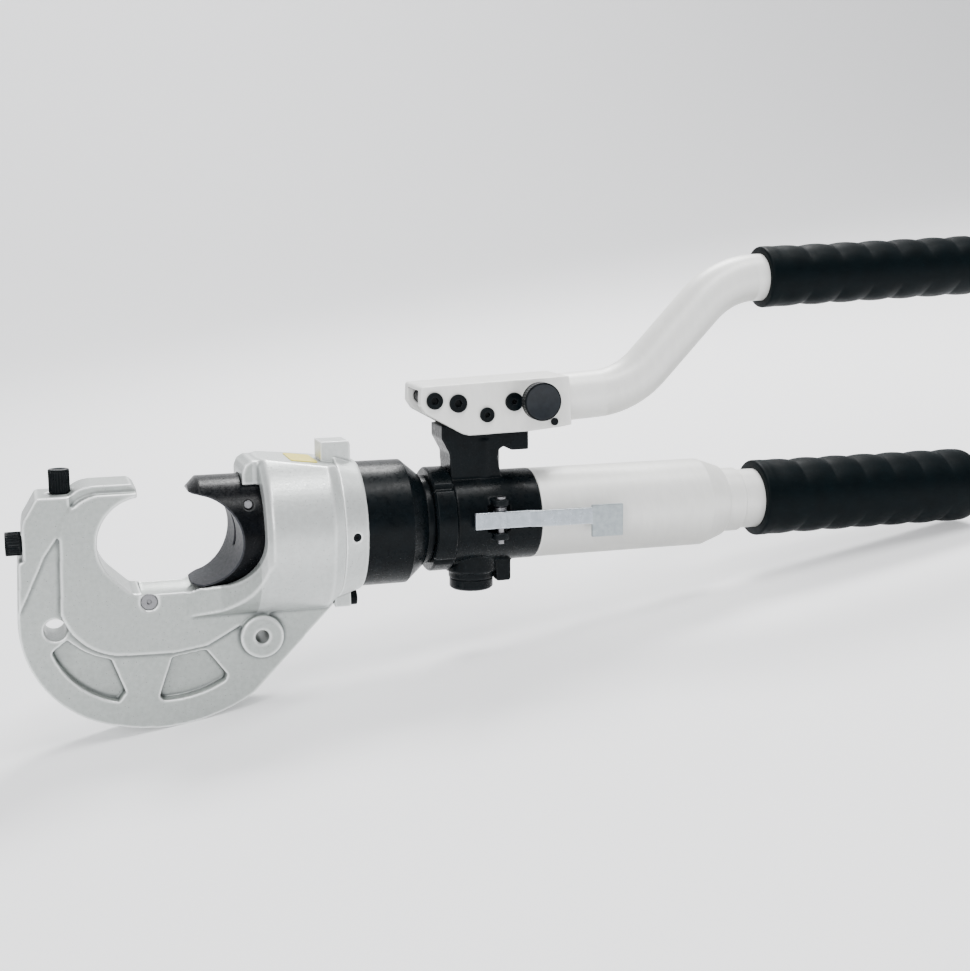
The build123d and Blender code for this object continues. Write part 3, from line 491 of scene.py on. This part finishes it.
KNOB_R, KNOB_RIBS = 10.9, 44
knob_low, knob_high = tool_box("lock_knob")
knob_at = ((knob_low.x + knob_high.x) / 2, 0, (knob_low.z + knob_high.z) / 2)
face, back = -knob_low.y, -knob_high.y
outline = [(face, 0), (face, KNOB_R), (27.5, KNOB_R), (27.5, 3.5), (back, 3.5), (back, 0)]
points = spread(eased(outline, 0.9), 0, 0)
rim = [Vector((face - 0.25, 0)), Vector((face - 0.25, KNOB_R * 0.8)), Vector((face, KNOB_R * 0.84))]
knob = lathe("lock_knob_knurled", rim + points[1:], knob_at, (0, -1, 0), segments=KNOB_RIBS * 8,
             closed=False, shape=ribs(KNOB_RIBS, 0.3, 28.4, face - 0.9, KNOB_R - 0.2))
for polygon in knob.data.polygons:
    across = polygon.center / MM - Vector(knob_at)
    if across.y < -face + 0.6 and math.hypot(across.x, across.z) < KNOB_R - 0.9:
        polygon.material_index = 1
stand_for(place(knob), "lock_knob", KNOB_FACE)


# ---------------------------------------------------------------- rubber grips
WAVE = 20.5
WAVE_DEPTH = 1.15
WAVE_SLANT = 2.0


def waves(first, last):
    """Scallops along the top and bottom that die away on the flanks."""
    def shape(along, angle, radius):
        ends = min(max((along - first) / 8, 0), 1) * min(max((last - along) / 8, 0), 1)
        if radius < 17 or ends <= 0:
            return radius
        up = abs(math.cos(angle))
        reach = min(max((up - 0.30) / 0.5, 0), 1)
        reach = reach * reach * (3 - 2 * reach)
        phase = math.pi * (along - first - WAVE_SLANT * (1 - up)) / WAVE
        scallop = 1 - abs(math.sin(phase)) ** 0.8
        return radius - WAVE_DEPTH * ends * (reach * scallop)
    return shape


def grip(name, node, origin, axis, length, inner, outer, bore):
    """A moulded sleeve: lip at the front, waves along it and a domed end."""
    end_r = 9.0
    points = eased([(bore, 0), (bore, inner), (0, inner), (0, outer - 0.9)], 0.4)
    points += [Vector((0.35, outer - 0.25)), Vector((1.2, outer))]
    along = 2.0
    while along < length - end_r:
        points.append(Vector((along, outer)))
        along += 0.8
    for k in range(17):
        t = math.pi / 2 * k / 16
        points.append(Vector((length - 1.2 - end_r + end_r * math.sin(t),
                              outer - end_r + end_r * math.cos(t))))
    for k in range(1, 9):
        r = (outer - end_r) * (1 - k / 8)
        points.append(Vector((length - 1.2 * (r / (outer - end_r)) ** 2, r)))
    made = lathe(name, points, origin, axis, closed=False, segments=128,
                 shape=waves(6.0, length - 5.0))
    return stand_for(place(made), node)


low, high = tool_box("fixed_grip")
grip("fixed_grip_moulded", "fixed_grip", (low.x, 0, 0), (1, 0, 0), high.x - low.x, TAIL_R + 0.05,
     (high.z - low.z) / 2, 400.2 - low.x)

# The handle's end run carries the upper grip; its line comes from the tube's far end.
HANDLE_END = Vector((400.0, 0, 140.6))
HANDLE_RUN = (HANDLE_END - Vector((226.9, 0, 134.3))).normalized()
grip("handle_grip_moulded", "handle_grip", HANDLE_END - HANDLE_RUN * 148.0, HANDLE_RUN, 153.0,
     14.05, 18.4, 148.2)

# ---------------------------------------------------------------- studio
def sheet(name, rows, half_width, material):
    """A backdrop swept from (depth, height) points."""
    verts = [(x, y, z) for y, z in rows for x in (-half_width, half_width)]
    faces = [(2 * k, 2 * k + 1, 2 * k + 3, 2 * k + 2) for k in range(len(rows) - 1)]
    mesh = bpy.data.meshes.new(name)
    mesh.from_pydata(verts, [], faces)
    for polygon in mesh.polygons:
        polygon.use_smooth = True
    piece = linked(name, mesh)
    piece.data.materials.append(material)
    piece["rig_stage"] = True
    return piece


SWEEP_R, WALL_Y, WALL_TOP, FLOOR_FRONT = 1.6, 4.2, 5.0, -5.0
rows = [(FLOOR_FRONT, 0), (WALL_Y - SWEEP_R, 0)]
rows += [(WALL_Y - SWEEP_R + SWEEP_R * math.sin(math.pi / 2 * k / 24),
          SWEEP_R - SWEEP_R * math.cos(math.pi / 2 * k / 24)) for k in range(1, 25)]
rows.append((WALL_Y, WALL_TOP))
paper = surface("backdrop_paper", (0.86, 0.86, 0.87), 0.0, 0.8, tone=0.004, tone_size=60,
                grain_size=1.5, grain=0.02, specular=0.1)
glow = paper.node_tree.nodes["Principled BSDF"]
glow.inputs["Emission Color"].default_value = (0.98, 0.99, 1.0, 1)
glow.inputs["Emission Strength"].default_value = 0.35
sheet("backdrop", rows, 6.0, paper)


def softbox(name, place, aim, size, power, tint=(1, 1, 1)):
    light = bpy.data.lights.new(name, "AREA")
    light.shape = "RECTANGLE"
    light.size, light.size_y = size
    light.energy = power
    light.color = tint
    lamp = bpy.data.objects.new(name, light)
    bpy.context.scene.collection.objects.link(lamp)
    lamp.location = place
    lamp.rotation_euler = (Vector(aim) - Vector(place)).to_track_quat("-Z", "Y").to_euler()
    return lamp


softbox("overhead", (0.5, -0.62, 1.95), (0.0, 0, 0.08), (2.2, 0.4), 48)
softbox("key", (-1.1, -1.7, 1.1), (-0.1, 0, 0.08), (1.2, 1.0), 27)
softbox("rear", (0.55, 1.0, 1.5), (0.0, 0.0, 0.05), (0.8, 0.5), 46)
softbox("wall", (0.0, 1.6, 2.4), (0.0, 3.6, 1.2), (3.0, 0.8), 85)

world = bpy.data.worlds.new("studio")
world.use_nodes = True
bpy.context.scene.world = world
background = world.node_tree.nodes["Background"]
background.inputs["Color"].default_value = (0.93, 0.95, 1.0, 1)
background.inputs["Strength"].default_value = 0.35

# ---------------------------------------------------------------- camera
# Placed in the tool frame: in front of the jaw's side, above the tool, looking along it.
CAMERA_AT = Vector((-178.6, -825.0, 164.3))
CAMERA_RIGHT = Vector((0.95467, -0.29757, -0.00705))
CAMERA_AIM = Vector((0.29225, 0.94155, -0.16756))
camera_data = bpy.data.cameras.new("camera")
camera_data.lens = 55.67
camera_data.sensor_width = 36.0
camera_data.clip_start = 0.01
camera = bpy.data.objects.new("camera", camera_data)
bpy.context.scene.collection.objects.link(camera)
aim = CAMERA_AIM.normalized()
right = (CAMERA_RIGHT - aim * CAMERA_RIGHT.dot(aim)).normalized()
upward = right.cross(aim)
turn = Matrix((right, upward, -aim)).transposed().to_4x4()
turn.translation = CAMERA_AT * MM
camera.matrix_world = TOOL @ turn
bpy.context.scene.camera = camera

low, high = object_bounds()
